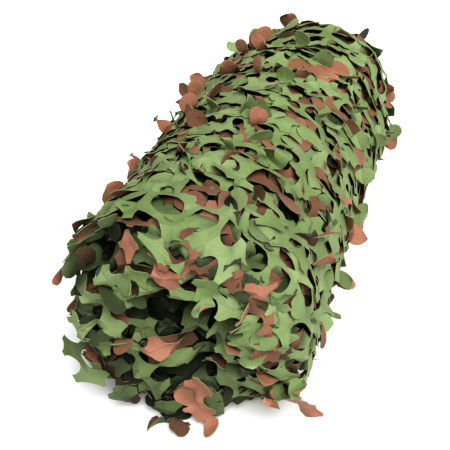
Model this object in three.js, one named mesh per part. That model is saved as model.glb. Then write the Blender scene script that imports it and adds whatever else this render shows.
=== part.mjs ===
// A die-cut camouflage net, folded lengthways into a long flat bundle, rolled up and laid on its side.
// Two solids: the wound bundle, and the loose last turn of the net, which is a sheet with its openings cut through.
// Millimetres, +Z up, the roll's axis along Y with the near end at -Y. The origin is on the floor, under the
// middle of the roll, on its flat spot. Angles run round the roll from +X over the top.
import * as THREE from "three";
import { mergeVertices } from "three/addons/utils/BufferGeometryUtils.js";

const rollLength = 760; // from rim to rim of the last turn: a quarter of the net's 3 m width, and its slack
const rollRadius = 189; // of the last turn, before its lumps
const axisHeight = 179; // less than the radius, so the roll lies on a flat spot
const sheetThick = 3; // the crinkled cloth with its leaves pressed in
const clothGap = 2; // between the last turn and the bundle that it wraps
const seatGap = 0.3; // where the bundle's weight rests on the last turn, over the flat spot

const turn = 2 * Math.PI;
const degree = Math.PI / 180;

// 0 below low, 1 above high, and a smooth rise between them.
function rise(value, low, high) {
  return THREE.MathUtils.smoothstep(value, low, high);
}

// 1 at a centre, falling smoothly to 0 at a reach either side. Angles are compared round the circle.
function hump(angle, centre, reach) {
  const away = Math.atan2(Math.sin(angle - centre), Math.cos(angle - centre));
  return 1 - rise(Math.abs(away), 0, reach);
}

// How far from round the roll's section is, as shares of its radius: slow lumps, a waist half way along, and a far
// end that has sunk at the upper left.
const shape = { oval: -0.008, lump: 0.016, lumpLength: 230, waist: 0.016, sunk: 0.1 };
const sunkSide = { angle: 135 * degree, reach: 100 * degree };

function outOfRound(angle, y) {
  const oval = shape.oval * Math.cos(2 * angle);
  const lumps = shape.lump * Math.sin(3 * angle + y / shape.lumpLength) * Math.cos(y / shape.lumpLength + 2 * angle);
  const waist = shape.waist * Math.cos((Math.PI * y) / rollLength);
  const sunk = shape.sunk * hump(angle, sunkSide.angle, sunkSide.reach) * rise(y, -20, rollLength / 2);
  return 1 + oval + lumps - waist - sunk;
}

// A point of the roll: round by angle, in from its outside by depth, and along by y. The floor cuts the round off flat.
function place(angle, depth, y) {
  const round = (rollRadius - depth) * outOfRound(angle, y);
  const down = Math.max(-Math.sin(angle), 1e-3);
  const toFloor = (axisHeight - Math.max(depth, 0)) / down;
  const reach = Math.min(round, toFloor);
  return new THREE.Vector3(reach * Math.cos(angle), y, axisHeight + reach * Math.sin(angle));
}

// Where the last turn starts under its own free edge, and where that edge ends.
// Both slant along the roll, so that the free edge is further round at the near end.
const wrap = { start: -55.5 * degree, end: 316.5 * degree, tuck: 10, tuckTurns: 52 * degree, slant: 6 * degree };

// How deep the tucked start of the last turn lies, and the outer end of the bundle under it.
function tuckDepth(angle, reach = wrap.tuckTurns) {
  return wrap.tuck * hump(angle, wrap.start, reach);
}

// How near a point is to the near rim: 1 at the rim, 0 from a given way in.
function nearRim(y, wayIn) {
  return 1 - rise(y + rollLength / 2, 0, wayIn);
}

// At the near end the last turn stands off on the upper left, and the corner of its free edge falls loose.
const standOff = { angle: 158 * degree, reach: 62 * degree, out: 12, wayIn: 150 };
const corner = { angle: 324 * degree, reach: 26 * degree, out: 22, wayIn: 150 };
const hollow = { angle: 144 * degree, reach: 48 * degree, depth: 58, wayIn: 260 };

function looseness(angle, y) {
  const wall = standOff.out * hump(angle, standOff.angle, standOff.reach) * nearRim(y, standOff.wayIn);
  const flap = corner.out * hump(angle, corner.angle, corner.reach) * nearRim(y, corner.wayIn);
  return wall + flap;
}

// The net was rolled askew: the near rim lies further back at the lower right and over the hollow and further out at
// the left, and the far rim falls short at the upper left.
const askew = [
  { end: -1, angle: 300 * degree, reach: 80 * degree, move: 34 },
  { end: -1, angle: 165 * degree, reach: 60 * degree, move: -8 },
  { end: -1, angle: 122 * degree, reach: 45 * degree, move: 34 },
  { end: 1, angle: 125 * degree, reach: 85 * degree, move: -24 },
];

function alongRoll(angle, y) {
  const moves = askew.map(({ end, angle: centre, reach, move }) => {
    return move * hump(angle, centre, reach) * nearRim(-end * y, rollLength / 2);
  });
  return moves.reduce((sum, move) => sum + move, y);
}

// The bundle is a rounded slab, as long as the roll, thinning out towards its outer end where the last turn leaves it.
const bundle = {
  endTuck: 34 * degree,
  seat: -91.5 * degree,
  thick: 43,
  thinEnd: 4,
  pitch: 46,
  turns: 3.66,
  stepsPerTurn: 30,
  spans: 6,
  edgeSteps: 5,
  short: 14, // how far each edge lies inside the last turn's rim
  uneven: 11, // how far an edge wanders in and out
  dome: 34, // how far the inner turns have slid out at the near end
};

// The slab's section: length along x and thickness along y, both edges rounded.
function bundleSection() {
  const radius = bundle.thick / 2;
  const straight = rollLength / 2 - bundle.short - radius;
  const points = [];
  for (const side of [1, -1]) {
    for (let i = 0; i < bundle.spans; i++) {
      const along = side * straight * ((2 * i) / bundle.spans - 1);
      points.push(new THREE.Vector2(along, -side * radius));
    }
    for (let i = 0; i < bundle.edgeSteps; i++) {
      const around = Math.PI * (i / bundle.edgeSteps - 0.5);
      points.push(new THREE.Vector2(side * (straight + radius * Math.cos(around)), side * radius * Math.sin(around)));
    }
  }
  return new THREE.Shape(points);
}

// How deep the outer face of the bundle lies after a number of turns in from its outer end.
function bundleDepth(turns, angle) {
  const seated = turns < 0.5 ? hump(angle, bundle.seat, 18 * degree) : 0;
  const gap = THREE.MathUtils.lerp(clothGap, seatGap, seated);
  const firstTurn = (bundle.thinEnd + bundle.pitch - bundle.thick) * rise(turns, 0.12, 1);
  const tucked = tuckDepth(angle, turns < 0.5 ? bundle.endTuck : wrap.tuckTurns);
  return sheetThick + gap + firstTurn + tucked + bundle.pitch * Math.max(turns - 1, 0);
}

// Rolls one point of the slab up: x along it, across from -1 on its inner face to 1 on its outer one.
function rollUp(along, across, turns) {
  const angle = wrap.start - turn * turns;
  const thick = THREE.MathUtils.lerp(bundle.thinEnd, bundle.thick, Math.min(turns, 1));
  const wander = bundle.uneven * Math.sin(5.3 * turns + 0.6) * Math.cos(2.1 * turns);
  const slide = bundle.dome * rise(turns, 0.9, bundle.turns);
  const y = along + (along < 0 ? -slide - wander : wander) * rise(Math.abs(along), 0, rollLength / 2);
  const deep = bundleDepth(turns, angle) + (thick * (1 - across)) / 2;
  const give = hollow.depth * hump(angle, hollow.angle, hollow.reach) * nearRim(y, hollow.wayIn);
  return place(angle, deep + give * (1 - deep / rollRadius), alongRoll(angle, y));
}

function woundBundle() {
  const geometry = new THREE.ExtrudeGeometry(bundleSection(), {
    depth: bundle.turns,
    steps: Math.round(bundle.turns * bundle.stepsPerTurn),
    bevelEnabled: false,
  });
  const position = geometry.getAttribute("position");
  for (let i = 0; i < position.count; i++) {
    const point = rollUp(position.getX(i), (2 * position.getY(i)) / bundle.thick, position.getZ(i));
    position.setXYZ(i, point.x, point.y, point.z);
  }
  return closed(geometry);
}

// The last turn is a grid of cells. Each holds one round opening and the leaf that was cut from it, still joined
// along one edge. The cloth between four openings is a star with hollow sides.
const net = {
  columns: 16,
  rows: 10,
  corners: 8,
  gapShare: 0.7, // an opening's width, of its cell's
  leafReach: 0.86, // a leaf's length, of its opening's width
  leafThick: 2.4,
  leafLift: [9, 26], // degrees, the least and most that a leaf stands up
  stagger: 7, // how far the rows wander out of line
};

// The same fraction from 0 to 1 every time for a cell's column, row and a salt.
function chance(column, row, salt) {
  const wave = Math.sin(column * 12.9898 + row * 78.233 + salt * 37.719) * 43758.5453;
  return wave - Math.floor(wave);
}

// Bends a point of the flat last turn round the roll: u along its wrap, v across it, up out of its outer face.
function wrapPoint(u, v, up) {
  const y = v + net.stagger * Math.sin(u / 61) * Math.cos((Math.PI * v) / rollLength);
  const angle = wrap.start + u / rollRadius - (wrap.slant * 2 * v) / rollLength;
  const first = u < (Math.PI * rollRadius) ? tuckDepth(Math.max(angle, wrap.start)) : 0;
  return place(angle, first - looseness(angle, y) - up, alongRoll(angle, y));
}

// The four quarters of a cell meet its sides at corners and middles: the point of a square in a direction.
function squareEdge(direction, wide, high) {
  const x = Math.cos(direction);
  const y = Math.sin(direction);
  const stretch = 1 / Math.max(Math.abs(x), Math.abs(y));
  return [(x * stretch * wide) / 2, (y * stretch * high) / 2];
}

// Collects the points and faces of the last turn, flat, as [u, v, up]. Bending mirrors them, so a quad whose corners
// run anticlockwise on the flat is stored the other way round.
class ClothMesh {
  constructor() {
    this.points = [];
    this.faces = [];
  }

  point(u, v, up) {
    this.points.push([u, v, up]);
    return this.points.length - 1;
  }

  // A quad is split from its first corner to its third, so the two faces of the cloth name theirs from the same one.
  quad(a, b, c, d) {
    this.faces.push(a, c, b, a, d, c);
  }

  geometry(bend) {
    const flat = this.points.flatMap(([u, v, up]) => bend(u, v, up).toArray());
    return new THREE.BufferGeometry()
      .setAttribute("position", new THREE.Float32BufferAttribute(flat, 3))
      .setIndex(this.faces);
  }
}

// One leaf: two widening and narrowing quads with a top, an underside and a rim, hinged on an edge of the opening.
function addLeaf(mesh, cell, hinge, lift) {
  const [from, to] = hinge.top.map((index) => mesh.points[index]);
  const middle = [(from[0] + to[0]) / 2, (from[1] + to[1]) / 2];
  const inward = [cell.u - middle[0], cell.v - middle[1]];
  const size = Math.hypot(...inward);
  const [du, dv] = inward.map((part) => part / size);
  const rowsOut = [
    { out: 0.42, half: 0.4 },
    { out: 0.86, half: 0.3 },
    { out: 1, half: 0.1 },
  ];
  let last = hinge;
  for (const { out, half } of rowsOut) {
    const reach = net.leafReach * cell.gap * out;
    const slope = lift * (0.7 + 0.6 * out);
    const ahead = reach * Math.cos(slope);
    const high = reach * Math.sin(slope) - sheetThick / 2;
    const ring = { top: [], under: [] };
    for (const side of [1, -1]) {
      const u = middle[0] + du * ahead - dv * side * half * cell.gap;
      const v = middle[1] + dv * ahead + du * side * half * cell.gap;
      const tilt = (net.leafThick / 2) * Math.sin(slope);
      const rising = (net.leafThick / 2) * Math.cos(slope);
      ring.top.push(mesh.point(u - du * tilt, v - dv * tilt, high + rising));
      ring.under.push(mesh.point(u + du * tilt, v + dv * tilt, high - rising));
    }
    mesh.quad(last.top[0], last.top[1], ring.top[1], ring.top[0]);
    mesh.quad(last.under[0], ring.under[0], ring.under[1], last.under[1]);
    mesh.quad(last.under[0], last.top[0], ring.top[0], ring.under[0]);
    mesh.quad(last.top[1], last.under[1], ring.under[1], ring.top[1]);
    last = ring;
  }
  mesh.quad(last.top[0], last.top[1], last.under[1], last.under[0]);
}

// The cloth of one cell: a ring from the opening out to the cell's sides, on both faces, and the opening's wall.
function addCell(mesh, column, row, wide, high) {
  const cell = {
    u: (column + 0.5) * wide,
    v: (row + 0.5) * high - rollLength / 2,
    gap: net.gapShare * Math.min(wide, high) * (0.9 + 0.14 * chance(column, row, 1)),
  };
  const rings = { top: [], under: [], outerTop: [], outerUnder: [] };
  for (let k = 0; k < net.corners; k++) {
    const direction = (turn * k) / net.corners;
    const [u, v] = [cell.u + (cell.gap / 2) * Math.cos(direction), cell.v + (cell.gap / 2) * Math.sin(direction)];
    const [su, sv] = squareEdge(direction, wide, high);
    rings.top.push(mesh.point(u, v, 0));
    rings.under.push(mesh.point(u, v, -sheetThick));
    rings.outerTop.push(mesh.point(cell.u + su, cell.v + sv, 0));
    rings.outerUnder.push(mesh.point(cell.u + su, cell.v + sv, -sheetThick));
  }
  const middle = wrap.start + cell.u / rollRadius;
  const onFloor = hump(middle, -90 * degree, 40 * degree) > 0;
  const tucked = middle - wrap.start < 26 * degree;
  const hinge = onFloor || tucked ? -1 : Math.floor(chance(column, row, 2) * net.corners);
  for (let k = 0; k < net.corners; k++) {
    const next = (k + 1) % net.corners;
    mesh.quad(rings.top[k], rings.outerTop[k], rings.outerTop[next], rings.top[next]);
    mesh.quad(rings.under[k], rings.under[next], rings.outerUnder[next], rings.outerUnder[k]);
    if (k === hinge) {
      const [least, most] = net.leafLift;
      const lift = THREE.MathUtils.lerp(least, most, chance(column, row, 3)) * degree;
      const edge = { top: [rings.top[k], rings.top[next]], under: [rings.under[k], rings.under[next]] };
      addLeaf(mesh, cell, edge, lift);
    } else {
      mesh.quad(rings.under[k], rings.top[k], rings.top[next], rings.under[next]);
    }
  }
  return rings;
}

// The selvedge: a wall of cloth thickness along each side of the sheet that no other cell shares.
function addSelvedge(mesh, rings, column, row) {
  const sides = [
    { here: column === net.columns - 1, edge: [7, 0, 1] },
    { here: row === net.rows - 1, edge: [1, 2, 3] },
    { here: column === 0, edge: [3, 4, 5] },
    { here: row === 0, edge: [5, 6, 7] },
  ];
  for (const { here, edge } of sides.filter((side) => side.here)) {
    for (const [k, next] of [edge.slice(0, 2), edge.slice(1)]) {
      mesh.quad(rings.outerTop[k], rings.outerUnder[k], rings.outerUnder[next], rings.outerTop[next]);
    }
  }
}

function looseTurn() {
  const mesh = new ClothMesh();
  const wide = ((wrap.end - wrap.start) * rollRadius) / net.columns;
  const high = rollLength / net.rows;
  for (let column = 0; column < net.columns; column++) {
    for (let row = 0; row < net.rows; row++) {
      addSelvedge(mesh, addCell(mesh, column, row, wide, high), column, row);
    }
  }
  return closed(mesh.geometry(wrapPoint));
}

// One closed body: only positions are kept, and points that coincide become one.
function closed(geometry) {
  geometry.deleteAttribute("normal");
  geometry.deleteAttribute("uv");
  const merged = mergeVertices(geometry, 1e-3);
  merged.computeVertexNormals();
  return merged;
}

const leafGreen = new THREE.MeshStandardMaterial({ color: 0x8aa561, roughness: 0.85, metalness: 0 });
const innerGreen = new THREE.MeshStandardMaterial({ color: 0x5e6f44, roughness: 0.9, metalness: 0 });

const woundNet = new THREE.Mesh(woundBundle(), innerGreen);
woundNet.name = "wound_net";

const lastTurn = new THREE.Mesh(looseTurn(), leafGreen);
lastTurn.name = "loose_outer_turn";

const rolledNet = new THREE.Group();
rolledNet.add(woundNet, lastTurn);

export default rolledNet;
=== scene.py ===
import bpy
import math
import numpy as np
from mathutils import Matrix


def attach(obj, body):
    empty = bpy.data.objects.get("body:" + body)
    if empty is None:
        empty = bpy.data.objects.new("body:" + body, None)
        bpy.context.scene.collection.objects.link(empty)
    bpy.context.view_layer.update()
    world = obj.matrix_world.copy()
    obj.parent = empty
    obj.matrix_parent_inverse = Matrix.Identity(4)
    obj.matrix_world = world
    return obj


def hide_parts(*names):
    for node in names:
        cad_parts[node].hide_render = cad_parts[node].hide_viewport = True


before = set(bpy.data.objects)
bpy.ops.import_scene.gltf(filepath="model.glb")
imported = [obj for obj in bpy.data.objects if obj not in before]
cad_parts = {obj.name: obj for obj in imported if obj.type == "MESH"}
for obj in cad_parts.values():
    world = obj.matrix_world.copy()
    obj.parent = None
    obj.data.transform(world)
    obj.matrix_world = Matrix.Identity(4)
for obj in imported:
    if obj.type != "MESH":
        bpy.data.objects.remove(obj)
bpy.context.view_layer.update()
print("frame loaded")

degree = math.pi / 180

# The camera looks along the roll from its near end, from the right and above.
view = {
    "azimuth": 19.6, "elevation": 35.9, "roll": -2.94, "place": (0.3523, -1.1416, 0.9798),
    "lens": 64.35, "sensor": 36,
}


# The camera's axes: right is level at the azimuth, ahead dips by the elevation and up is square to both.
# Right and up are turned by the roll.
def makeCamera():
    a, e, t = (view[key] * degree for key in ("azimuth", "elevation", "roll"))
    right = np.array([math.cos(a), math.sin(a), 0])
    up = np.array([-math.sin(a) * math.sin(e), math.cos(a) * math.sin(e), math.cos(e)])
    back = np.array([math.sin(a) * math.cos(e), -math.cos(a) * math.cos(e), math.sin(e)])
    turnedRight = math.cos(t) * right + math.sin(t) * up
    turnedUp = -math.sin(t) * right + math.cos(t) * up
    camera = bpy.data.objects.new("camera", bpy.data.cameras.new("camera"))
    axes = Matrix([[*row] for row in np.array([turnedRight, turnedUp, back]).T])
    camera.matrix_world = Matrix.Translation(view["place"]) @ axes.to_4x4()
    camera.data.lens = view["lens"]
    camera.data.sensor_width = view["sensor"]
    bpy.context.collection.objects.link(camera)
    bpy.context.scene.camera = camera


makeCamera()
print("camera placed")

# The roll's shape in metres, the same as the solids': angles run round from +X over the top, and y along it.
roll = {
    "radius": 0.189, "axisHeight": 0.179, "length": 0.760, "oval": -0.008, "lump": 0.016,
    "lumpLength": 0.230, "waist": 0.016,
    "sunk": {"most": 0.1, "angle": 135 * degree, "reach": 100 * degree}, "sunkFrom": -0.020,
    "start": -55.5 * degree,
}
halfLength = roll["length"] / 2
looseParts = {
    "wall": {"angle": 148 * degree, "reach": 54 * degree, "out": 0.014, "wayIn": 0.150},
    "corner": {"angle": 324 * degree, "reach": 26 * degree, "out": 0.022, "wayIn": 0.150},
    "hollow": {"angle": 150 * degree, "reach": 44 * degree, "out": 0.044, "wayIn": 0.240},
}
askew = (
    {"end": -1, "angle": 300 * degree, "reach": 80 * degree, "move": 0.034},
    {"end": -1, "angle": 165 * degree, "reach": 60 * degree, "move": -0.008},
    {"end": -1, "angle": 122 * degree, "reach": 45 * degree, "move": 0.034},
    {"end": 1, "angle": 125 * degree, "reach": 85 * degree, "move": -0.024},
)


# A smooth rise from 0 to 1 between two values: three times the square of the share of the way, less twice its
# cube.
def rise(value, low, high):
    share = np.clip((value - low) / (high - low), 0, 1)
    return share * share * (3 - 2 * share)


# 1 at an angle, falling smoothly to 0 at a reach either side of it.
def hump(angle, centre, reach):
    away = np.abs(np.arctan2(np.sin(angle - centre), np.cos(angle - centre)))
    return 1 - rise(away, 0, reach)


# The angle round the roll of a place on a layer.
def angleOf(uv):
    return uv[:, 0] / roll["radius"]


# A spot round the roll: its most, the angle it lies at and its reach to either side, both in degrees.
def spot(most, angle, reach):
    return {"most": most, "angle": angle * degree, "reach": reach * degree}


# What a spot gives at an angle: its most times its hump.
def spotAt(part, angle):
    return part["most"] * hump(angle, part["angle"], part["reach"])


# 1 at the near rim, falling to 0 a given way in.
def nearRim(y, wayIn):
    return 1 - rise(y + halfLength, 0, wayIn)


# How far one loose part stands out: its most, times its hump round the roll and its fall from the near rim.
def looseBy(name, angle, y):
    part = looseParts[name]
    return part["out"] * hump(angle, part["angle"], part["reach"]) * nearRim(y, part["wayIn"])


# The section's share of a round one: an oval and slow lumps, less a waist half way along and a far end sunk
# at the upper left.
def outOfRound(angle, y):
    oval = roll["oval"] * np.cos(2 * angle)
    slow = y / roll["lumpLength"]
    lumps = roll["lump"] * np.sin(3 * angle + slow) * np.cos(slow + 2 * angle)
    waist = roll["waist"] * np.cos(math.pi * y / roll["length"])
    sunk = spotAt(roll["sunk"], angle) * rise(y, roll["sunkFrom"], halfLength)
    return 1 + oval + lumps - waist - sunk


# Each askew row moves its end of the roll along by its hump round the roll, and nothing half way along.
def alongRoll(angle, y):
    moved = y + 0
    for row in askew:
        share = nearRim(-row["end"] * y, halfLength)
        moved = moved + row["move"] * hump(angle, row["angle"], row["reach"]) * share
    return moved


# A point of the roll: out along its angle by the radius less the depth, out of round, cut off flat at the
# floor.
def rollPoint(angle, depth, y):
    round_ = (roll["radius"] - depth) * outOfRound(angle, y)
    toFloor = (roll["axisHeight"] - np.maximum(depth, 0)) / np.maximum(-np.sin(angle), 1e-3)
    reach = np.minimum(round_, toFloor)
    return np.stack([reach * np.cos(angle), y, roll["axisHeight"] + reach * np.sin(angle)], axis=-1)


waveStretch = (0.7, 1.5)  # the least and most share of its stated length that one wave has
aboveWaves = 9  # higher than any sum of waves


# A sum of sine waves in random directions, all of about one length, scaled to lie mostly between -1 and 1.
def waves(a, b, length, seed, count=7):
    rng = np.random.default_rng(seed)
    total = np.zeros(np.broadcast(a, b).shape)
    for _ in range(count):
        way, phase = rng.uniform(0, 2 * math.pi), rng.uniform(0, 2 * math.pi)
        stretch = rng.uniform(*waveStretch)
        across = a * math.cos(way) + b * math.sin(way)
        total += np.sin(across * 2 * math.pi / (length * stretch) + phase)
    return total / math.sqrt(count)


pressing = {"least": 0.46, "from": -0.40, "to": -0.08}


# How open the net's leaves stand: fully at the near end, falling to the least two fifths of the way along.
def openness(y):
    return pressing["least"] + (1 - pressing["least"]) * (1 - rise(y, pressing["from"], pressing["to"]))


# The cut pattern. Round leaves of one size lie on a square grid. Between four of them is a star of cloth with
# hollow sides, joined to its neighbours by narrow necks. Each leaf is hinged on the side of one star.
cuts = {
    "samples": 5,  # points along each hollow side of a star
    "step": 22.5 * degree,  # the leaf's round between two of them
    "rows": np.array([112, 84, 58, 33, 10]) * degree,  # a leaf's rows, as angles from its tip round its rim
    "hinged": np.array([1, 2, 3]),  # the points of a side that the leaf hangs on
    "armShare": 0.52,  # how far out an arm's middle point lies
    "tipReach": (-0.12, 0.04),  # how much further out a free tip ends than its neck
    "overLength": 0.13,  # the length of the waves that turn stars over
    "overMix": 0.6,  # how much chance is mixed into them
    "pressedBelow": 0.35,  # every leaf is pressed where the net is this open
    "pressedOver": 0.45,  # and none where it is this much more open
    "mostLift": 100 * degree,
    "overLift": 0.3,  # how much of its lift a leaf keeps on a turned-over star
    "overFold": 0.05,  # and how much of its folding back
    "caughtLift": (50 * degree, 45 * degree),  # a caught leaf's least lift, and how much more it may have
    "leafFit": (0.92, 1.0),  # a leaf's size as a share of its opening
    "hingeAngle": 150 * degree,  # from a leaf's tip round to its hinge
    "firstTurn": 0.75,  # the share of its lift that a leaf's first row takes
    "curlSpread": (0.5, 0.8),  # the mean and spread of a leaf's share of its full curl
    "bendLength": 1.8,  # curl and skew are full this far from the hinge, in leaf sizes
    "leanShare": 0.7,  # how much a leaf follows its hinge's lean
    "slopeShare": 0.4,  # and its star's slope
    "slopeReach": 0.3,  # from a star's middle to its side, in pitches
}
quarterI = np.array([1, 0, 0, 1])  # which of the four leaves about a star each quarter faces
quarterJ = np.array([1, 1, 0, 0])
towardsStar = (225 + 90 * np.arange(4)) * degree  # the way from each of those leaves back to the star


# A grid's two indices as flat lists.
def indexPairs(columns, rows):
    i, j = np.meshgrid(np.arange(columns), np.arange(rows), indexing="ij")
    return i.ravel(), j.ravel()


# The faces of one star, from its own list of points: its middle, four arm points, then its sides all round.
def starFaces():
    n = cuts["samples"]
    around = 4 * n
    faces = []
    for q in range(4):
        first = 5 + q * n
        arm, nextArm = 1 + q, 1 + (q + 1) % 4
        faces += [(0, first + k, first + k + 1) for k in range(1, n - 2)]
        faces += [(0, arm, first + 1), (arm, first, first + 1), (arm, 5 + (q * n - 1) % around, first)]
        faces += [(0, first + n - 2, nextArm), (nextArm, first + n - 2, first + n - 1)]
    return np.array(faces)


# For each pick from 0 to 1, the last three columns of the row of a table where the running sum of the shares
# passes it.
def drawKinds(table, pick):
    rows = np.array(table)
    return rows[np.minimum(np.searchsorted(np.cumsum(rows[:, 0]), pick), len(rows) - 1), 1:].T


# All the cloth of one net: points as a place on its layer and a height over it, the faces between them, and a
# shade for each point. Arms bend from a star's plane to the heights of its necks. A leaf's rows turn from its
# hinge by an angle that grows along it.
def cutNet(net, inside, opening):
    rng = np.random.default_rng(net["seed"])
    columns, rows, pitch, place = net["columns"], net["rows"], net["pitch"], net["place"]
    n = cuts["samples"]
    leafAt = np.stack(np.meshgrid(np.arange(columns + 1), np.arange(rows + 1), indexing="ij"), -1) * pitch
    leafAt = leafAt + rng.normal(0, net["wander"], leafAt.shape)
    leafSize = net["hole"] * rng.uniform(1 - net["uneven"], 1 + net["uneven"], (columns + 1, rows + 1))
    si, sj = indexPairs(columns, rows)
    starCount = si.size
    middle = (np.stack([si, sj], -1) + 0.5) * pitch + rng.normal(0, net["wander"], (starCount, 2))
    starAt = place(middle)
    open_ = opening(starAt)[:, None]

    # the sides of each star, as points on the rounds of its four leaves
    quarter, k = np.repeat(np.arange(4), n), np.tile(np.arange(n), 4)
    way = towardsStar[quarter] + 45 * degree - k * cuts["step"]
    li, lj = si[:, None] + quarterI[quarter], sj[:, None] + quarterJ[quarter]
    side = leafAt[li, lj] + leafSize[li, lj][..., None] * np.stack([np.cos(way), np.sin(way)], -1)

    # necks: 0 right, 1 top, 2 left, 3 bottom of each star; a cut one ends in a free tip
    rightCut = rng.random((columns + 1, rows)) < net["cutRound"]
    topCut = rng.random((columns, rows + 1)) < net["cutAlong"]
    rightCut[[0, -1]] = True
    topCut[:, [0, -1]] = True
    rightRise, topRise = (rng.normal(0, net["neckRise"], part.shape) for part in (rightCut, topCut))
    cutOff = np.stack([rightCut[si + 1, sj], topCut[si, sj + 1], rightCut[si, sj], topCut[si, sj]], -1)
    neckRise = np.stack([rightRise[si + 1, sj], topRise[si, sj + 1], rightRise[si, sj], topRise[si, sj]], -1)

    # each star's plane and the heights of its free tips
    starRise = rng.normal(0, net["starRise"], (starCount, 1)) * open_
    tilt = rng.normal(0, net["tilt"], (starCount, 2)) * open_ - np.array([0, net["shingle"]])
    armTilt = np.stack([tilt[:, 0], tilt[:, 1], -tilt[:, 0], -tilt[:, 1]], -1) * pitch / 2
    tipLift = rng.uniform(*net["tipLift"], (starCount, 4)) * open_
    neckRise = np.where(cutOff, starRise + armTilt + tipLift, neckRise)

    # a cut neck's two corners draw together into a tip
    isEnd = (k == 0) | (k == n - 1)
    neckOf = np.where(k == n - 1, (quarter + 1) % 4, quarter)
    other = (np.arange(4 * n) + np.where(k == 0, -1, 1)) % (4 * n)
    tip = (side + side[:, other]) / 2
    tipShare = 1 + rng.uniform(*cuts["tipReach"], (starCount, 4))[:, neckOf][..., None]
    tip = middle[:, None] + (tip - middle[:, None]) * tipShare
    freed = (cutOff[:, neckOf] & isEnd)[..., None]
    side = np.where(freed, tip + (side - tip) * net["tipWidth"], side)

    # heights along the sides: the necks' at the ends, the star's own plane half way
    share = k / (n - 1)
    first, last = 1 - rise(share, 0, 0.5), rise(share, 0.5, 1)
    flare = rng.normal(0, net["flare"], (starCount, 4))[:, quarter] * open_
    plane = starRise + ((side - middle[:, None]) * tilt[:, None]).sum(-1)
    sideUp = (plane + flare) * (1 - first - last)
    sideUp = sideUp + neckRise[:, quarter] * first + neckRise[:, (quarter + 1) % 4] * last

    # each star's points
    armEnd = (side[:, np.arange(4) * n] + side[:, (np.arange(4) * n - 1) % (4 * n)]) / 2
    arm = middle[:, None] + (armEnd - middle[:, None]) * cuts["armShare"]
    armPlane = starRise + ((arm - middle[:, None]) * tilt[:, None]).sum(-1)
    armUp = armPlane + (neckRise - starRise - armTilt) * cuts["armShare"] ** net["bow"]
    each = 5 + 4 * n
    base = np.arange(starCount) * each
    stars = base[:, None, None] + starFaces()

    # which stars are turned over with their leaves
    over = waves(starAt[:, 0], starAt[:, 1], cuts["overLength"], net["seed"] + 3)
    over = over + rng.normal(0, cuts["overMix"], starCount)
    over = over > net["turnedOver"] - net["turnMore"] * (net["standOut"](starAt) - 1)

    # leaves: which star each hangs on, and how it turns out from its hinge
    pi, pj = indexPairs(columns + 1, rows + 1)
    hinge = rng.integers(0, 4, pi.size)
    hi, hj = pi - quarterI[hinge], pj - quarterJ[hinge]
    there = (hi >= 0) & (hi < columns) & (hj >= 0) & (hj < rows)
    there = there & (rng.random(pi.size) < net["leafShare"])
    pi, pj, hinge, hi, hj = (part[there] for part in (pi, pj, hinge, hi, hj))
    host = hi * rows + hj
    leafCount = host.size
    leafOpen = opening(place(leafAt[pi, pj]))
    pressed = rng.random(leafCount) > (leafOpen - cuts["pressedBelow"]) / cuts["pressedOver"]
    pick = rng.random(leafCount)
    low, high, bent = np.where(pressed, drawKinds(net["pressedLeaves"], pick), drawKinds(net["leaves"], pick))
    stands, farHinged = (low > 0) & (high < 90), quarterJ[hinge] == 0
    lift = (low + (high - low) * rng.random(leafCount)) * degree * np.where(stands, leafOpen, 1)
    standOut = net["standOut"](place(leafAt[pi, pj]))
    lift = lift * np.where(stands, standOut * np.where(farHinged, net["catch"], 1), 1)
    lift = np.minimum(lift, cuts["mostLift"])
    lift = lift * np.where(over[host] & (low > 0), np.where(stands, cuts["overLift"], cuts["overFold"]), 1)
    caught = rng.random(leafCount) < net["caught"] * (standOut - 1)
    caught = caught & farHinged & (quarterI[hinge] == 0) & ~over[host]
    leastLift, moreLift = cuts["caughtLift"]
    lift = np.where(caught, leastLift + moreLift * rng.random(leafCount), lift)
    curl = rng.normal(*cuts["curlSpread"], leafCount) * bent * degree
    skew = rng.normal(0, net["skew"] * degree, leafCount)
    round_, columnsAcross = cuts["rows"], np.array([-1, 0, 1])
    radius = leafSize[pi, pj][:, None, None] * rng.uniform(*cuts["leafFit"], (leafCount, 1, 1))
    hingeAlong = math.cos(cuts["hingeAngle"])
    along, wide = np.cos(round_)[None, :, None], np.sin(round_)[None, :, None]
    liftShare = np.ones((1, len(round_), 1))
    liftShare[:, 0] = cuts["firstTurn"]
    turned = lift[:, None, None] * liftShare
    bending = curl[:, None, None] + skew[:, None, None] * columnsAcross
    turned = turned + bending * (along - hingeAlong) / cuts["bendLength"]
    pace = np.diff(np.concatenate([[hingeAlong], np.cos(round_)]))[None, :, None]
    out = (hingeAlong + np.cumsum(pace * np.cos(turned), 1)) * radius
    up = np.cumsum(pace * np.sin(turned), 1) * radius
    cup = rng.normal(0, net["cup"], (leafCount, 1, 1)) * (columnsAcross * wide) ** 2 * radius
    root = hinge[:, None] * n + cuts["hinged"]
    rootUp = sideUp[host[:, None], root]
    sideways = columnsAcross * wide * radius
    lean = (rootUp[:, 2] - rootUp[:, 0])[:, None, None] / (2 * radius * math.sin(cuts["step"]))
    slope = (rootUp[:, 1] - starRise[host, 0])[:, None, None] / (pitch * cuts["slopeReach"])
    up = up + rootUp[:, 1][:, None, None] + cup + cuts["leanShare"] * lean * sideways
    up = up + cuts["slopeShare"] * slope * (out - hingeAlong * radius)
    outWay = towardsStar[hinge] + math.pi
    ahead = np.stack([np.cos(outWay), np.sin(outWay)], -1)[:, None, None]
    beside = np.stack([-np.sin(outWay), np.cos(outWay)], -1)[:, None, None]
    leaf = leafAt[pi, pj][:, None, None] + ahead * out[..., None] + beside * (sideways + 0 * out)[..., None]
    perLeaf = 3 * len(round_)
    leafFrom = starCount * each + np.arange(leafCount)[:, None, None] * perLeaf
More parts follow.
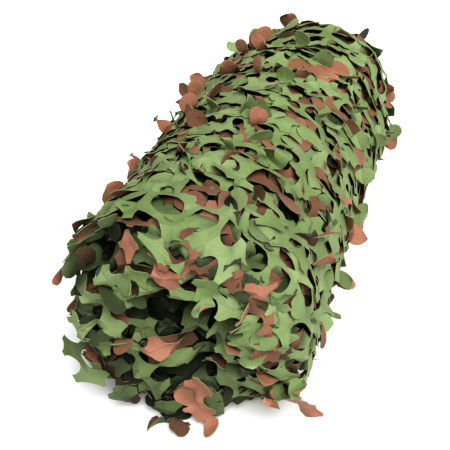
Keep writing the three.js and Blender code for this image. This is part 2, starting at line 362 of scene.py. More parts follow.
    hingeRow = (base[host][:, None] + 5 + root)[:, None]
    grid = np.concatenate([hingeRow, leafFrom + np.arange(perLeaf).reshape(1, -1, 3)], 1)
    leaves = np.stack([grid[:, :-1, :-1], grid[:, 1:, :-1], grid[:, 1:, 1:], grid[:, :-1, 1:]], -1)

    # which cloth is kept
    keepStar = inside(starAt)
    keepLeaf = keepStar[host]
    fans, quads = stars[keepStar].reshape(-1, 3), leaves[keepLeaf].reshape(-1, 4)
    quadOver = np.repeat(over[host][keepLeaf], 2 * len(round_))
    fanOver = np.repeat(over[keepStar], stars.shape[1])
    starPoints = np.concatenate([middle[:, None], arm, side], 1)
    flat = np.concatenate([starPoints.reshape(-1, 2), leaf.reshape(-1, 2)])
    height = np.concatenate([np.concatenate([starRise, armUp, sideUp], 1).ravel(), up.ravel()])
    starShade, leafShade = rng.random(starCount), rng.random(leafCount)
    shade = np.concatenate([np.repeat(starShade, each), np.repeat(leafShade, perLeaf)])

    # an uncut neck's corners are one point with the neighbour's: each is numbered by its leaf and its place
    # on the leaf's round, past the numbers of all the points
    key = np.arange(flat.shape[0])
    perRound = round(2 * math.pi / cuts["step"])
    onRound = np.round(way / cuts["step"]).astype(int) % perRound
    corner = key.size + (li * (rows + 1) + lj) * perRound + onRound
    shared = isEnd & ~cutOff[:, neckOf]
    sideIds = base[:, None] + 5 + np.arange(4 * n)
    key[sideIds[shared]] = corner[shared]
    _, firstOf, same = np.unique(key, return_index=True, return_inverse=True)
    quads, fans = same[quads], same[fans]
    used, packed = np.unique(np.concatenate([quads.ravel(), fans.ravel()]), return_inverse=True)
    quads, fans = packed[:quads.size].reshape(-1, 4), packed[quads.size:].reshape(-1, 3)
    kept = firstOf[used]
    return {"at": place(flat[kept]), "up": height[kept], "shade": shade[kept], "cloth": flat[kept],
            "quads": quads, "fans": fans, "over": np.concatenate([quadOver, fanOver]),
            "cells": int(keepStar.sum())}


rimKind = 2  # the material number of a sheet's rim, after those of its two faces


# A closed skin on both sides of a thin sheet: the same points moved back along their mean face normals by the
# thickness, the same faces turned over, and a strip of rim between the two wherever a face has no neighbour.
def shell(points, quads, fans, thick, over):
    normals = np.zeros_like(points)
    for faces in (quads, fans):
        a, b, c, last = (points[faces[:, part]] for part in (0, 1, 2, -1))
        crossed = np.cross(c - a, last - b) if faces.shape[1] == 4 else np.cross(b - a, c - a)
        for corner in range(faces.shape[1]):
            np.add.at(normals, faces[:, corner], crossed)
    normals /= np.maximum(np.linalg.norm(normals, axis=1, keepdims=True), 1e-12)
    count = len(points)
    edges = np.concatenate([np.stack([faces[:, c], faces[:, (c + 1) % faces.shape[1]]], -1)
                            for faces in (quads, fans) for c in range(faces.shape[1])])
    code = np.sort(edges, 1) @ np.array([count, 1])
    _, where, times = np.unique(code, return_index=True, return_counts=True)
    rim = edges[where[times == 1]]
    rims = np.stack([rim[:, 1], rim[:, 0], rim[:, 0] + count, rim[:, 1] + count], -1)
    both = np.concatenate([points, points - normals * thick])
    allQuads = np.concatenate([quads, quads[:, [0, 3, 2, 1]] + count, rims])
    allFans = np.concatenate([fans, fans[:, [0, 2, 1]] + count])
    quadOver, fanOver = over[:len(quads)], over[len(quads):]
    rimKinds = np.full(len(rims), rimKind)
    kinds = np.concatenate([quadOver, ~quadOver, rimKinds, fanOver, ~fanOver]).astype(int)
    return both, allQuads, allFans, kinds


crease = 38 * degree  # cloth that bends more sharply than this between two faces shows a crease


# A mesh object from arrays: four-sided faces first, then three-sided ones, with a material number for each.
# Rims aren't shaded smooth.
def meshObject(name, points, quads, fans, uv, attributes, kinds=None):
    mesh = bpy.data.meshes.new(name)
    loops = np.concatenate([quads.ravel(), fans.ravel()]).astype(np.int32)
    totals = np.repeat([4, 3], [len(quads), len(fans)]).astype(np.int32)
    mesh.vertices.add(len(points))
    mesh.vertices.foreach_set("co", points.astype(np.float32).ravel())
    mesh.loops.add(len(loops))
    mesh.loops.foreach_set("vertex_index", loops)
    mesh.polygons.add(len(totals))
    mesh.polygons.foreach_set("loop_start", (np.cumsum(totals) - totals).astype(np.int32))
    mesh.polygons.foreach_set("loop_total", totals)
    if kinds is not None:
        mesh.polygons.foreach_set("material_index", kinds.astype(np.int32))
    mesh.update(calc_edges=True)
    layer = mesh.uv_layers.new(name="clothMetres")
    layer.uv.foreach_set("vector", uv[loops].astype(np.float32).ravel())
    for label, values in attributes.items():
        mesh.attributes.new(label, "FLOAT", "POINT").data.foreach_set("value", values.astype(np.float32))
    smooth = np.ones(len(totals), bool) if kinds is None else kinds != rimKind
    mesh.polygons.foreach_set("use_smooth", smooth)
    mesh.set_sharp_from_angle(angle=crease)
    mesh.validate()
    thing = bpy.data.objects.new(name, mesh)
    bpy.context.collection.objects.link(thing)
    return thing


# The cloth's colours: the darkest and lightest, its roughness and its sheen. The last row is painted shade: a
# near black that stands in for the shade deep inside the roll.
cloth = {
    "green": {"dark": (0.138, 0.198, 0.066), "light": (0.226, 0.290, 0.138), "rough": 0.70, "sheen": 0.04},
    "brown": {"dark": (0.205, 0.092, 0.052), "light": (0.370, 0.180, 0.116), "rough": 0.70, "sheen": 0.04},
    "rim": {"dark": (0.210, 0.260, 0.120), "light": (0.300, 0.350, 0.180), "rough": 0.8, "sheen": 0.0},
    # Painted shade: near black for cloth deep inside the roll, not a colour the cloth has.
    "inner": {"dark": (0.012, 0.016, 0.006), "light": (0.050, 0.060, 0.022), "rough": 0.9, "sheen": 0.0},
}


# A node with its settings, and its inputs either linked to a socket or set to a value.
def newNode(tree, kind, inputs=(), **values):
    node = tree.nodes.new(kind)
    for key, value in values.items():
        setattr(node, key, value)
    for key, value in inputs:
        if isinstance(value, bpy.types.NodeSocket):
            tree.links.new(value, node.inputs[key])
        else:
            node.inputs[key].default_value = value
    return node


# The cloth's patterns, as scales and details of noise, and how much of each goes into the tone or the relief.
pattern = {
    "patches": (26.0, 5.0), "grain": (420.0, 1.0), "grainShare": 0.7, "shadeShare": 0.55,
    "toneFrom": 0.70, "toneTo": 1.50, "weave": (900.0, 2.0), "creases": (75.0, 3.0), "creaseShare": 7.0,
    "reliefStrength": 0.5, "reliefDepth": 0.0006, "specular": 0.3,
}


# One cloth. Its tone, from dark to light, is the sum of patches, a share of fine grain and a share of each
# star's or leaf's own shade. Painted shade: by the deep attribute, cloth that lies deep in the roll mixes
# towards the near-black painted shade colour. Creases and weave give the relief.
def clothMaterial(name):
    look = cloth[name]
    material = bpy.data.materials.new(name + "Cloth")
    material.use_nodes = True
    tree = material.node_tree
    shader = tree.nodes["Principled BSDF"]
    where = newNode(tree, "ShaderNodeTexCoord")
    shade = newNode(tree, "ShaderNodeAttribute", attribute_name="shade", attribute_type="GEOMETRY")
    # The deep attribute is painted shade: the share by which a point's colour darkens towards near black.
    deep = newNode(tree, "ShaderNodeAttribute", attribute_name="deep", attribute_type="GEOMETRY")

    def noise(space, label):
        scale, detail = pattern[label]
        inputs = (("Vector", where.outputs[space]), ("Scale", scale), ("Detail", detail))
        return newNode(tree, "ShaderNodeTexNoise", inputs).outputs["Fac"]

    def multiplyAdd(value, by, more):
        inputs = ((0, value), (1, by), (2, more))
        return newNode(tree, "ShaderNodeMath", inputs, operation="MULTIPLY_ADD").outputs[0]

    def mix(share, low, high):
        inputs = (("Factor", share), ("A", low), ("B", high))
        return newNode(tree, "ShaderNodeMix", inputs, data_type="RGBA").outputs["Result"]

    mottle = multiplyAdd(noise("UV", "grain"), pattern["grainShare"], noise("Object", "patches"))
    tone = multiplyAdd(shade.outputs["Fac"], pattern["shadeShare"], mottle)
    toneInputs = (("Value", tone), ("From Min", pattern["toneFrom"]), ("From Max", pattern["toneTo"]))
    toneShare = newNode(tree, "ShaderNodeMapRange", toneInputs).outputs[0]
    colour = mix(toneShare, (*look["dark"], 1), (*look["light"], 1))
    # Painted shade: the colour darkens towards near black by the deep attribute.
    paintedShadeColour = mix(deep.outputs["Fac"], colour, (*cloth["inner"]["dark"], 1))
    relief = multiplyAdd(noise("Object", "creases"), pattern["creaseShare"], noise("UV", "weave"))
    bump = newNode(tree, "ShaderNodeBump", (("Height", relief), ("Strength", pattern["reliefStrength"]),
                                            ("Distance", pattern["reliefDepth"])))
    tree.links.new(paintedShadeColour, shader.inputs["Base Color"])
    tree.links.new(bump.outputs["Normal"], shader.inputs["Normal"])
    shader.inputs["Roughness"].default_value = look["rough"]
    shader.inputs["Specular IOR Level"].default_value = pattern["specular"]
    shader.inputs["Sheen Weight"].default_value = look["sheen"]
    return material


materials = {name: clothMaterial(name) for name in cloth}
print("materials made")


# How the nets lie: how much painted shade darkens their sunk parts and the most there may be, and how a flat
# pattern is warped and gathered.
laying = {
    "sunkPaintedShade": 0.85, "sunkBy": 0.018, "mostPaintedShade": 0.96, "warpLength": 0.20, "gatherBefore": 0.06,
    "gatherLength": 0.88,
}


# A point gets painted shade, a darkening where shade falls, by its net's own depth, by how far it is sunk
# below the layer where the net is open, and by its place.
def layNet(name, net, surface, inside, opening, slot, green=True, deepAt=None):
    cut = cutNet(net, inside, opening)
    points = surface(cut["at"][:, 0], cut["at"][:, 1], cut["up"])
    # Painted shade: sunk cloth darkens by how far below its layer it lies, where the net is open.
    sunk = laying["sunkPaintedShade"] * np.clip(-cut["up"] / laying["sunkBy"], 0, 1) * opening(cut["at"])
    sunk = net["deep"] + sunk
    outPaintedShade, inPaintedShade = deepAt(cut["at"]) if deepAt else (0 * sunk, 0 * sunk)
    deep = np.clip(np.concatenate([sunk + outPaintedShade, sunk + inPaintedShade]), 0, laying["mostPaintedShade"])
    quads, fans = cut["quads"], cut["fans"]
    if net["flip"]:
        quads, fans = quads[:, ::-1], fans[:, ::-1]
    both, quads, fans, kinds = shell(points, quads, fans, net["thick"], cut["over"])
    attributes = {"shade": np.tile(cut["shade"], 2), "deep": deep}
    thing = meshObject(name, both, quads, fans, np.tile(cut["cloth"], (2, 1)), attributes, kinds)
    for part in (("green", "brown", "rim") if green else ("brown", "green", "rim")):
        thing.data.materials.append(materials[part])
    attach(thing, "root")
    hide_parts(slot)
    print(name, "cells", cut["cells"], "triangles", int(2 * len(quads) + len(fans)))


# The place of a flat pattern on a layer: turned about its own middle, moved so that its middle is at a point,
# and warped by slow waves. Once turned, a gathered pattern is drawn together along the roll, to one share of
# its length at the near end, changing evenly to another at the far end.
def placeBy(net, turn, middle, gather=(1, 1)):
    half = np.array([net["columns"], net["rows"]]) * net["pitch"] / 2
    c, s = math.cos(turn), math.sin(turn)
    near, far = gather
    start = -halfLength - laying["gatherBefore"]
    flatLength = laying["gatherLength"] / ((near + far) / 2)

    def place(flat):
        a, b = (flat - half)[..., 0], (flat - half)[..., 1]
        turned = np.stack([a * c - b * s, a * s + b * c], -1)
        if near != 1:
            share = turned[..., 1] / flatLength + 0.5
            turned[..., 1] = start + flatLength * (near * share + (far - near) * share ** 2 / 2)
        spread = turned + np.array(middle)
        bend = [waves(spread[..., 0], spread[..., 1], laying["warpLength"], net["seed"] + more)
                for more in (5, 9)]
        return spread + np.stack(bend, -1) * net["warp"]
    return place


# Small ripples across the layers, drawn out round the roll, and a share of slower ones.
ripples = {"drawnOut": 0.35, "length": 0.06, "slowShare": 0.6, "slowLength": 0.11}


# A layer wound round the roll: u is the angle times the radius and v the distance along. Past a shoulder near
# each end the cloth turns down over the end along a quarter circle, and then in towards the axis. Close to
# the floor its heights are squeezed, so that it stays above its own least height.
def woundSurface(layer):
    def surface(u, v, up):
        angle = u / roll["radius"]
        small = waves(u * ripples["drawnOut"], v, ripples["length"], layer["seed"])
        slow = waves(u, v, ripples["slowLength"], layer["seed"] + 1)
        up = up + layer["ripple"] * (small + ripples["slowShare"] * slow)
        over = layer["over"](angle)
        shoulder = layer["shoulder"]
        start = halfLength - shoulder
        past = np.maximum(np.abs(v) - start, 0)
        bendTurn = np.minimum(past / shoulder, math.pi / 2)
        straight = np.maximum(past - shoulder * math.pi / 2, 0)
        downBy = over * (shoulder * (1 - np.cos(bendTurn)) + straight)
        alongBy = (1 - over) * past + over * shoulder * np.sin(bendTurn)
        lean = over * bendTurn
        y = np.sign(v) * (np.minimum(np.abs(v), start) + alongBy)
        deep = layer["depth"](angle, np.clip(y, -halfLength, halfLength)) + downBy - up * np.cos(lean)
        y = alongRoll(angle, y) + np.sign(v) * up * np.sin(lean)
        points = rollPoint(angle, deep, y)
        low, z = layer["floor"], points[:, 2]
        points[:, 2] = np.where(z < 2 * low, low + low * np.exp(np.minimum(z / low - 2, 0)), z)
        return points
    return surface


# How deep the layers lie. The last turn lies just under the roll's round. Layers inside it lie closer to it
# away from the near end.
depths = {
    "lastTurn": 0.001, "packedBy": 0.45, "packedFrom": -0.36, "packedTo": -0.10,
    "fuller": spot(0.015, 48, 80), "fullerFrom": 0.10, "fullerTo": 0.34,
}


# The far end is fuller at its upper right.
def fuller(angle, y):
    return spotAt(depths["fuller"], angle) * rise(y, depths["fullerFrom"], depths["fullerTo"])


# The last turn's depth, less what stands out of it.
def lastTurnDepth(angle, y):
    return depths["lastTurn"] - looseBy("wall", angle, y) - looseBy("corner", angle, y) - fuller(angle, y)


# A layer inside the last turn lies this far below it, and follows a share of the hollow at the near end. With
# no share it stands off with the last turn.
def bundleDepth(below, hollowShare=1.0):
    def depth(angle, y):
        packed = 1 - depths["packedBy"] * rise(y, depths["packedFrom"], depths["packedTo"])
        standOff = (1 - hollowShare) * looseBy("wall", angle, y) + fuller(angle, y)
        return depths["lastTurn"] + below * packed + hollowShare * looseBy("hollow", angle, y) - standOff
    return depth


openWall = spot(2.2, 160, 95)


# How much of the last turn rolls over the near end: all of it but the wall that stands open at the left.
def rollsOver(angle):
    return 1 - np.minimum(spotAt(openWall, angle), 1)


# All of the layer rolls over the end.
def everywhere(angle):
    return np.ones_like(angle)


standing = {"out": spot(1.5, 142, 46), "from": -0.12, "to": 0.0, "down": spot(0.9, -20, 100)}


# Along the upper left of the far half, leaves stand out over the edge. On the right they lie down.
def leavesOut(uv):
    angle = angleOf(uv)
    out = spotAt(standing["out"], angle) * rise(uv[:, 1], standing["from"], standing["to"])
    return 1 + out - spotAt(standing["down"], angle)


# No leaves stand out more than others.
def noneOut(uv):
    return np.ones(len(uv))


# The last turn's net, which the others start from. Each row of leaves holds its share of them, the least and
# most that they lift in degrees, and how far they curl: laid in their openings, sunk into them, tucked away
# below, standing out, and folded back over the cloth.
outerNet = {
    "seed": 11, "columns": 28, "rows": 27, "pitch": 0.0490, "hole": 0.0187, "uneven": 0.08, "wander": 0.0014,
    "cutRound": 0.20, "cutAlong": 0.45, "neckRise": 0.0022, "starRise": 0.0026, "tilt": 0.12,
    "shingle": 0.17, "tipLift": (-0.002, 0.010), "tipWidth": 0.72, "turnedOver": 2.5,
    "flare": 0.002, "bow": 1.7, "leafShare": 0.97, "skew": 14, "cup": 0.12, "warp": 0.014,
    "leaves": ((0.12, -12, 8, 15), (0.30, -80, -20, -30), (0.31, -150, -100, -20), (0.17, 12, 52, 30),
               (0.10, 158, 176, 8)),
    "pressedLeaves": ((0.27, -14, 6, 12), (0.28, -60, -20, -15), (0.22, -150, -100, -20), (0.17, 6, 22, 20),
                      (0.06, 160, 176, 8)),
    "catch": 1.3, "caught": 0.8, "standOut": leavesOut, "turnMore": 0.5, "thick": 0.0009, "flip": True,
    # deep is the net's own painted shade, a darkening for cloth that lies further in.
    "deep": 0.0, "cutShare": 1, "clothShare": 1,
}
outerLayer = {
    "seed": 21, "ripple": 0.003, "shoulder": 0.050, "over": rollsOver, "depth": lastTurnDepth,
    "floor": 0.0015,
}
upperLeft = (130 * degree * roll["radius"], 0.0)
outerGather = (0.98, 0.66)


# Lays a net on a layer round the roll.
def layRound(name, net, layer, turn, gather, inside, slot, **more):
    net["place"] = placeBy(net, turn, upperLeft, gather)
    layNet(name, net, woundSurface(layer), inside, openAlong, slot, **more)


# The last turn's edges: how far past the roll's ends its rims reach, where they fall short, and where it
# starts and stops round the roll, with a slant.
outerEdge = {
    "near": 0.004, "nearOver": 0.075, "nearWall": spot(0.080, 174, 62),
    "nearFoot": spot(0.060, 268, 62), "far": 0.003, "farShort": spot(0.035, 128, 70),
    "slant": 6 * degree, "startPast": 0.02, "stop": 317 * degree,
}


# Between the last turn's start and stop, and between its near and far rims.
def outerInside(uv):
    angle, v = angleOf(uv), uv[:, 1]
    near = halfLength + outerEdge["near"] + outerEdge["nearOver"] * rollsOver(angle)
    near = near - spotAt(outerEdge["nearWall"], angle) - spotAt(outerEdge["nearFoot"], angle)
    far = halfLength + outerEdge["far"] - spotAt(outerEdge["farShort"], angle)
    slanted = angle + outerEdge["slant"] * 2 * v / roll["length"]
    started = slanted > roll["start"] + outerEdge["startPast"]
    return started & (slanted < outerEdge["stop"]) & (v > -near) & (v < far)


opened = {"wall": spot(0.65, 182, 60), "wallWayIn": 0.20, "right": spot(0.20, 5, 70)}


# The wall's openings are closed but for slits, and those of the right side are a little more open.
def openAlong(uv):
    angle = angleOf(uv)
    wall = spotAt(opened["wall"], angle) * nearRim(uv[:, 1], opened["wallWayIn"])
    return np.minimum(openness(uv[:, 1]) + spotAt(opened["right"], angle), 1) * (1 - wall)


# Painted shade on the last turn: its most and reach at the foot outside and in the hollow of the wall inside.
turnPaintedShade = {"wall": spot(0.8, 158, 95), "wallWayIn": 0.22, "foot": spot(0.5, 262, 80), "footWayIn": 0.16}


# The painted shade of the last turn's outside, at its foot, and of its inside, in the hollow of the wall.
def wallPaintedShade(uv):
    angle = angleOf(uv)
    foot = spotAt(turnPaintedShade["foot"], angle) * nearRim(uv[:, 1], turnPaintedShade["footWayIn"])
    wall = spotAt(turnPaintedShade["wall"], angle) * nearRim(uv[:, 1], turnPaintedShade["wallWayIn"])
    return foot, wall


layRound("outerNet", outerNet, outerLayer, 0.10, outerGather, outerInside, "loose_outer_turn",
         deepAt=wallPaintedShade)

# Folds of the same cloth lie over the last turn in patches, clear of the roll's ends.
folds = {
    "above": 0.004, "seed": 29, "length": 0.14, "drawnIn": 1.6, "least": 0.10, "near": -0.33, "far": 0.36,
}


# The last turn's depth, less how far folds lie above it.
def foldDepth(angle, y):
    return lastTurnDepth(angle, y) - folds["above"]


# Where slow waves, drawn in along the roll, are high.
def foldInside(uv):
    high = waves(uv[:, 0], uv[:, 1] * folds["drawnIn"], folds["length"], folds["seed"]) > folds["least"]
    return outerInside(uv) & high & (uv[:, 1] > folds["near"]) & (uv[:, 1] < folds["far"])


foldNet = dict(outerNet, seed=23, turnedOver=1.6, cutShare=0.6, leafShare=0.75)
foldLayer = dict(outerLayer, seed=27, depth=foldDepth)
layRound("foldNet", foldNet, foldLayer, -0.45, outerGather, foldInside, "loose_outer_turn")

# Two more layers of net lie inside the last turn, the first of them with its brown side out. Lying further
# in, they get more painted shade by their deep value.
secondNet = dict(outerNet, seed=31, deep=0.36, catch=0.8, standOut=noneOut, columns=30, rows=28,
                 leafShare=0.9, turnedOver=1.2)
secondLayer = {
    "seed": 41, "ripple": 0.005, "shoulder": 0.044, "over": rollsOver, "depth": bundleDepth(0.010, 0.0),
    "floor": 0.004,
}
secondEdge = {
    "near": 0.035, "nearWall": spot(0.060, 168, 42), "far": 0.013, "farShort": spot(0.035, 128, 70),
    "stop": 303 * degree,
}


# Between the roll's start and this layer's stop, and between its rims, with no slant.
def secondInside(uv):
    angle, v = angleOf(uv), uv[:, 1]
    near = halfLength + secondEdge["near"] - spotAt(secondEdge["nearWall"], angle)
    far = halfLength + secondEdge["far"] - spotAt(secondEdge["farShort"], angle)
    return (angle > roll["start"]) & (angle < secondEdge["stop"]) & (v > -near) & (v < far)


layRound("secondNet", secondNet, secondLayer, -0.2, (0.96, 0.72), secondInside, "wound_net", green=False)

thirdNet = dict(secondNet, seed=51, deep=0.80, columns=34, rows=29, leafShare=0.8)
thirdLayer = {
    "seed": 61, "ripple": 0.004, "shoulder": 0.022, "over": everywhere, "depth": bundleDepth(0.024),
    "floor": 0.008,
}
layRound("thirdNet", thirdNet, thirdLayer, 0.5, (1, 1), secondInside, "wound_net")

# The bundle's near end: turns of folded cloth as ridges in a spiral, with pits, all a little uneven.
end = {
    "pitch": 0.046, "firstDepth": 0.030, "valley": 0.010, "valleyFrom": 0.04, "slide": 0.030,
    "rounded": 0.075, "uneven": 0.008, "unevenLength": 0.11, "unevenSeed": 71, "inset": 0.030,
    "foot": spot(0.050, 262, 75), "footDepth": 0.15, "fill": spot(0.030, 122, 55), "fillFrom": 0.07,
    "lowest": 0.004, "edgeAt": -0.37, "edgeIn": 0.010, "edgeHollow": 0.9,
}
pits = (
    {"at": (0.022, 0.036), "size": (0.062, 0.024), "deep": 0.105},
    {"at": (0.045, -0.098), "size": (0.045, 0.020), "deep": 0.070},
)


# How far into the pits a point of the near end is: bells, 1 in the middle of each.
def pitShares(x, z):
    return [np.exp(-((x - row["at"][0]) / row["size"][0]) ** 2 - ((z - row["at"][1]) / row["size"][1]) ** 2)
            for row in pits]


# How far out the near end stands at a point of its face: rounded at the rim but for its foot, with cosine
# ridges a pitch apart along the depth less the turns gone round, and pits.
def endStand(x, z):
    angle = np.arctan2(z, x)
    deep = roll["radius"] - np.hypot(x, z)
    gone = ((roll["start"] - angle) / (2 * math.pi)) % 1
    turns = (deep - end["firstDepth"]) / end["pitch"] + 1 - gone
    ridge = end["valley"] * (1 - np.cos(2 * math.pi * turns)) / 2 * rise(deep, 0, end["valleyFrom"])
    foot = spotAt(end["foot"], angle) * rise(deep, end["footDepth"], 0.0)
    rounded = end["slide"] * np.sqrt(1 - (1 - np.clip(deep / end["rounded"], 0, 1)) ** 2)
    pit = sum(row["deep"] * share for row, share in zip(pits, pitShares(x, z)))
    uneven = end["uneven"] * waves(x, z, end["unevenLength"], end["unevenSeed"])
    return rounded + foot - ridge - pit - end["inset"] + uneven


# The face of one end, a given depth below it. Side -1 is the near end, with its upper left filled, and side 1
# the flat far end.
def endSurface(side, below):
    def surface(u, v, up):
        angle = np.arctan2(v, u)
        stand = -end["inset"] - below + up
        if side < 0:
            fill = spotAt(end["fill"], angle) * rise(np.hypot(u, v), 0.0, end["fillFrom"])
            stand = endStand(u, v) - below + up + fill
        y = alongRoll(angle, np.full_like(u, side * halfLength)) + side * stand
        return np.stack([u, y, np.maximum(roll["axisHeight"] + v, end["lowest"])], -1)
    return surface


# The bundle's near edge, out from the axis: the roll's section less a margin and most of the hollow.
def bundleEdge(angle):
    hollow = looseBy("hollow", angle, end["edgeAt"]) * end["edgeHollow"]
    return roll["radius"] * outOfRound(angle, end["edgeAt"]) - end["edgeIn"] - hollow


# Where the end nets reach, and their painted shade in the pits and at the foot. They have holes where slow
# waves are high, more of them below.
endLook = {
    "lower": spot(0.024, 265, 85), "foldSeed": 75, "foldLength": 0.075, "foldBelow": 0.5, "foldFrom": 0.02,
    "foldTo": 0.10, "pitPaintedShade": 0.75, "pitFrom": 0.05, "pitTo": 0.7, "footPaintedShade": 0.52, "footFrom": 0.02,
    "footTo": 0.12,
}


# Inside an end's edge by a margin, clear of the middle of each pit, and where the slow waves aren't too high.
def endInside(margin, mostPit=1.0, mostFold=aboveWaves):
    def inside(uv):
        u, v = uv[:, 0], uv[:, 1]
        angle = np.arctan2(v, u)
        reach = bundleEdge(angle) - margin + spotAt(endLook["lower"], angle)
        below = endLook["foldBelow"] * rise(-v, endLook["foldFrom"], endLook["foldTo"])
        fold = waves(u, v, endLook["foldLength"], endLook["foldSeed"]) + below
        return (np.hypot(u, v) < reach) & (np.max(pitShares(u, v), 0) < mostPit) & (fold < mostFold)
    return inside


# The same openness all over a net.
def evenlyOpen(share):
    return lambda uv: np.full(len(uv), share)


# The painted shade of the pits and of the foot: darker deep in the pits and low at the foot.
def endPaintedShade(uv):
    pit = np.max(pitShares(uv[:, 0], uv[:, 1]), 0)
    pit = endLook["pitPaintedShade"] * rise(pit, endLook["pitFrom"], endLook["pitTo"])
    foot = endLook["footPaintedShade"] * rise(-uv[:, 1], endLook["footFrom"], endLook["footTo"])
    return np.maximum(pit, foot), np.maximum(pit, foot)


# Three nets over the near end, one behind the other, each further behind with more painted shade.
plainNet = dict(outerNet, columns=11, rows=12, cutShare=0.6, starRise=0.004, tilt=0.18, shingle=0,
                neckRise=0.004, standOut=noneOut)
nearNet = dict(plainNet, cutRound=0.35, cutAlong=0.35, tipLift=(-0.005, 0.010), bow=2.2, warp=0.008,
               flip=False, catch=1.0)
endNets = (
    {"name": "endNetFront", "turn": 0.35, "below": 0.0, "mostPit": 0.30, "mostFold": 0.60,
     "net": {"seed": 81, "deep": 0.08, "leafShare": 0.72, "turnedOver": 1.0}},
    {"name": "endNetMiddle", "turn": 0.95, "below": 0.018, "mostPit": 0.35, "mostFold": 0.95,
     "net": {"seed": 91, "deep": 0.40, "leafShare": 0.7, "turnedOver": 0.1}},
    {"name": "endNetBack", "turn": 1.35, "below": 0.040, "mostPit": 1.0, "mostFold": aboveWaves,
     "net": {"seed": 101, "deep": 0.80, "leafShare": 0.8, "turnedOver": 1.0}},
)
endGather = (0.86, 0.76)
endMargin = 0.006
for row in endNets:
    endNet = dict(nearNet, **row["net"])
    endNet["place"] = placeBy(endNet, row["turn"], (0.0, 0.0), endGather)
    inside = endInside(endMargin, row["mostPit"], row["mostFold"])
    surface = endSurface(-1, row["below"])
    layNet(row["name"], endNet, surface, inside, evenlyOpen(0.9), "wound_net", deepAt=endPaintedShade)

# One plain net over the far end.
farLeaves = ((0.45, -12, 8, 15), (0.35, -40, -12, -15), (0.20, 8, 34, 25))
farNet = dict(plainNet, seed=111, leaves=farLeaves, pressedLeaves=farLeaves, leafShare=1.0, cutAlong=0.3,
              turnedOver=1.4, warp=0.006)
farNet["place"] = placeBy(farNet, 0.5, (0.0, 0.0), endGather)
layNet("farEndNet", farNet, endSurface(1, 0.0), endInside(0.0), evenlyOpen(0.7), "wound_net")

# Loose bits of the net at the near end. Each lies on a plane of its own through a place, along two
# directions.
looseBits = (
    {"name": "looseCorner", "seed": 131, "cells": (1, 2), "at": (0.164, -0.352, 0.070),
     "across": (0.2, -0.7, 0.5), "along": (0.85, 0.15, -0.45), "bend": 5.0, "twist": 16.0, "brown": False},
    {"name": "looseFoot", "seed": 141, "cells": (1, 2), "at": (0.026, -0.382, 0.060),
     "across": (1.0, -0.05, 0.0), "along": (0.20, 0.10, 1.0), "bend": 3.0, "twist": 3.0, "brown": True},
    {"name": "looseHeel", "seed": 151, "cells": (1, 1), "at": (-0.075, -0.362, 0.036),
     "across": (0.9, -0.50, -0.10), "along": (-0.10, -0.35, 0.90), "bend": 5.0, "twist": -4.0, "brown": True},
)
bitLowest = 0.0025  # the least height of a bit over the floor


# The bit's plane, its second direction made square to the first. It rises by half the bend times the square
# of the way along, and turns about its length by the twist times the way.
def bitSurface(bit):
    across = np.array(bit["across"]) / np.linalg.norm(bit["across"])
    along = np.array(bit["along"]) - across * np.dot(bit["along"], across)
    along = along / np.linalg.norm(along)
    out = np.cross(across, along)

    def surface(u, v, up):
        turn = bit["twist"] * v
        lift = up + bit["bend"] * v ** 2 / 2 * (1 if out[2] < 0 else -1)
        sideways = u * np.cos(turn) - lift * np.sin(turn)
        upward = u * np.sin(turn) + lift * np.cos(turn)
        points = np.array(bit["at"]) + sideways[:, None] * across + v[:, None] * along + upward[:, None] * out
        points[:, 2] = np.maximum(points[:, 2], bitLowest)
        return points
    return surface


# All of the cloth is kept.
def allInside(uv):
    return np.ones(len(uv), bool)


for bit in looseBits:
    columns, rows = bit["cells"]
    bitNet = dict(outerNet, seed=bit["seed"], columns=columns, rows=rows, warp=0.0, shingle=0,
                  leafShare=1.0, cutAlong=0.0, turnedOver=aboveWaves, flip=False, standOut=noneOut,
                  clothShare=0.8, leaves=((0.7, -25, 20, 30), (0.3, 30, 60, 40)),
                  pressedLeaves=((1.0, -20, 10, 20),))
    bitNet["place"] = placeBy(bitNet, 0.0, (0.0, 0.0))
    surface, green = bitSurface(bit), not bit["brown"]
    layNet(bit["name"], bitNet, surface, allInside, evenlyOpen(1.0), "loose_outer_turn", green)

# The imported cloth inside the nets: its points round the roll and along each part, and how far in it lies.
packing = {
    "around": 120, "endRings": 16, "eye": 0.02, "sideRings": 24, "edgeIn": 0.016, "behind": 0.060,
    "farBehind": 0.04, "lowest": 0.012, "sideShort": 0.05, "below": 0.040, "ripple": 0.003,
    "rippleLength": 0.07, "seed": 121,
}


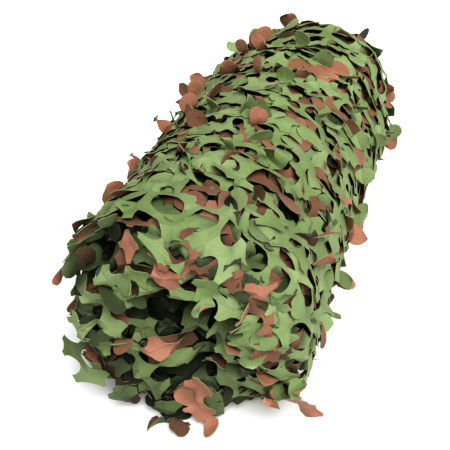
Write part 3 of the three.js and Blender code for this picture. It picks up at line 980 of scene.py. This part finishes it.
# One closed surface, round the roll by angle, and from the middle of the near end out over it, along the side
# and in over the far end.
def packedCloth():
    count = packing["around"]
    angles = np.linspace(0, 2 * math.pi, count + 1)[:-1]
    shares = np.linspace(packing["eye"], 1, packing["endRings"])
    angle, share = np.meshgrid(angles, shares, indexing="ij")
    edge = bundleEdge(angle) - packing["edgeIn"]
    x, z = edge * share * np.cos(angle), edge * share * np.sin(angle)
    y = alongRoll(angle, np.full_like(x, -halfLength)) - endStand(x, z) + packing["behind"]
    near = np.stack([x, y, np.maximum(roll["axisHeight"] + z, packing["lowest"])], -1)
    far = near[:, ::-1].copy()
    far[..., 1] = alongRoll(angle, np.full_like(x, halfLength))[:, ::-1] - packing["farBehind"]
    along = np.linspace(-1, 1, packing["sideRings"] + 2)[1:-1]
    angle, share = np.meshgrid(angles, along, indexing="ij")
    y = share * (halfLength - packing["sideShort"])
    ripple = packing["ripple"] * waves(angle * roll["radius"], y, packing["rippleLength"], packing["seed"])
    side = rollPoint(angle, bundleDepth(packing["below"])(angle, y) + ripple, alongRoll(angle, y))
    grid = np.concatenate([near, side, far], 1)
    rowCount = grid.shape[1]
    points = np.concatenate([grid.reshape(-1, 3), [grid[:, 0].mean(0)], [grid[:, -1].mean(0)]])

    # faces between neighbouring rows, and a fan round the middle point of each end
    i, j = indexPairs(count, rowCount - 1)
    here, there = i * rowCount + j, (i + 1) % count * rowCount + j
    quads = np.stack([here, there, there + 1, here + 1], -1)
    ring = np.arange(count)
    first, next_ = ring * rowCount, (ring + 1) % count * rowCount
    middles = np.full((2, count), count * rowCount) + [[0], [1]]
    caps = np.concatenate([np.stack([middles[0], next_, first], -1),
                           np.stack([middles[1], first + rowCount - 1, next_ + rowCount - 1], -1)])
    return points, quads[:, ::-1], caps[:, ::-1]


corePoints, coreQuads, coreFans = packedCloth()
coreShade = {"shade": np.zeros(len(corePoints))}
core = meshObject("packedCloth", corePoints, coreQuads, coreFans, corePoints[:, :2], coreShade)
# Painted shade: the packed cloth is coloured near black to stand in for the shade deep inside the roll.
core.data.materials.append(materials["inner"])
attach(core, "root")
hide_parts("wound_net")
print("packed cloth made")

# A pale floor under a soft even light from the right, above and in front.
stageLook = {
    "floor": (0.80, 0.80, 0.80), "floorReach": 6, "floorRough": 0.9, "world": 0.32, "sun": 3.8,
    "soft": 36 * degree, "from": (0.60, -0.85, 1.40), "away": 3,
}


def makeStage():
    mesh = bpy.data.meshes.new("floor")
    far = stageLook["floorReach"]
    mesh.from_pydata([(-far, -far, 0), (far, -far, 0), (far, far, 0), (-far, far, 0)], [], [(0, 1, 2, 3)])
    floor = bpy.data.objects.new("floor", mesh)
    bpy.context.collection.objects.link(floor)
    material = bpy.data.materials.new("paleFloor")
    material.use_nodes = True
    shader = material.node_tree.nodes["Principled BSDF"]
    shader.inputs["Base Color"].default_value = (*stageLook["floor"], 1)
    shader.inputs["Roughness"].default_value = stageLook["floorRough"]
    mesh.materials.append(material)
    world = bpy.data.worlds.new("studio")
    world.use_nodes = True
    sky = world.node_tree.nodes["Background"]
    sky.inputs["Color"].default_value = (1, 1, 1, 1)
    sky.inputs["Strength"].default_value = stageLook["world"]
    bpy.context.scene.world = world
    light = bpy.data.lights.new("sun", "SUN")
    light.energy, light.angle = stageLook["sun"], stageLook["soft"]
    lamp = bpy.data.objects.new("sun", light)
    back = np.array(stageLook["from"]) / np.linalg.norm(stageLook["from"])
    right = np.cross([0, 0, 1], back)
    right = right / np.linalg.norm(right)
    axes = np.array([right, np.cross(back, right), back]).T
    turned = Matrix([[*row] for row in axes]).to_4x4()
    lamp.matrix_world = Matrix.Translation(stageLook["away"] * back) @ turned
    bpy.context.collection.objects.link(lamp)


makeStage()
bpy.context.scene.view_settings.view_transform = "Standard"
bpy.context.scene.view_settings.look = "High Contrast"
print("stage lit")
